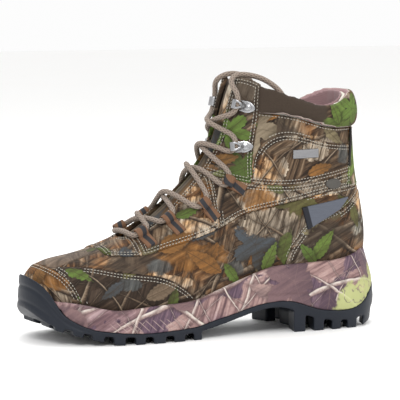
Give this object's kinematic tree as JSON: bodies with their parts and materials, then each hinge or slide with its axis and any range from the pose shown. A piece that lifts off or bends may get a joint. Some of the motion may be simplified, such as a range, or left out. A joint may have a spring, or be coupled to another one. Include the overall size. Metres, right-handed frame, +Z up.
{
  "type": "hunting boot",
  "caption": "Insulated lace-up hunting boot for the left foot, with a camouflage upper, padded collar and tongue, foam midsole and deep-lugged rubber outsole",
  "frame": {"origin": "on the ground, under the middle of the boot's bounding box", "axes": "toe points to -X, heel to +X, lateral side to -Y, medial side to +Y, up is +Z"},
  "size_m": [0.3034, 0.1091, 0.206],
  "materials": {
    "camo_fabric": "printed camouflage fabric with a leaf and branch pattern",
    "insole_board": "pressed fibre board",
    "stiffener": "thermoplastic sheet",
    "insulation": "synthetic wadding",
    "lining": "mauve mesh lining",
    "footbed": "textile-topped foam",
    "foam": "open-cell foam",
    "shank": "spring steel strip",
    "midsole": "moulded foam with a printed film",
    "outsole_rubber": "dark moulded rubber",
    "badge": "moulded soft plastic",
    "label_silver": "silver label",
    "label_dark": "printed label",
    "piping": "black piping",
    "webbing": "woven webbing",
    "hook_metal": "nickel plate",
    "lace": "braided polyester",
    "aglet": "plastic tip"
  },
  "bodies": {
    "boot": {"aglets": "aglet", "ankle_band_lateral": "camo_fabric", "ankle_band_medial": "camo_fabric", "ankle_panel_lateral": "camo_fabric", "ankle_panel_medial": "camo_fabric", "backstay": "camo_fabric", "collar_band_lateral": "camo_fabric", "collar_band_medial": "camo_fabric", "collar_roll": "camo_fabric", "facing_lateral": "camo_fabric", "facing_medial": "camo_fabric", "heel_badge": "badge", "heel_counter": "stiffener", "heel_overlay": "camo_fabric", "hook_rivets": "hook_metal", "insole_board": "insole_board", "insulation": "insulation", "lace": "lace", "lining": "lining", "lower_vamp_lateral": "camo_fabric", "lower_vamp_medial": "camo_fabric", "midsole": "midsole", "outsole": "outsole_rubber", "oval_label": "label_dark", "piping_lateral": "piping", "piping_medial": "piping", "quarter_lateral": "camo_fabric", "quarter_medial": "camo_fabric", "rectangle_label": "label_silver", "shank": "shank", "speed_hooks": "hook_metal", "throat_panel": "camo_fabric", "toe_cap": "camo_fabric", "toe_puff": "stiffener", "upper_facing_lateral": "camo_fabric", "upper_facing_medial": "camo_fabric", "vamp": "camo_fabric", "webbing_loops_lateral": "webbing", "webbing_loops_medial": "webbing"},
    "tongue": {"tongue_cover": "camo_fabric", "tongue_padding": "foam", "tongue_lining": "lining"},
    "footbed": {"footbed": "footbed"}
  },
  "joints": [
    {"name": "tongue_flex", "type": "hinge", "parent": "boot", "child": "tongue", "pos_m": [-0.0615, 0, 0.0745], "axis": [0, 1, 0], "range_deg": [0, 15], "stiffness_Nm_per_rad": 0.4, "springref_deg": -20.05},
    {"name": "footbed_lift", "type": "hinge", "parent": "boot", "child": "footbed", "pos_m": [-0.137, 0, 0.034], "axis": [0, -1, 0], "range_deg": [0, 4]}
  ]
}
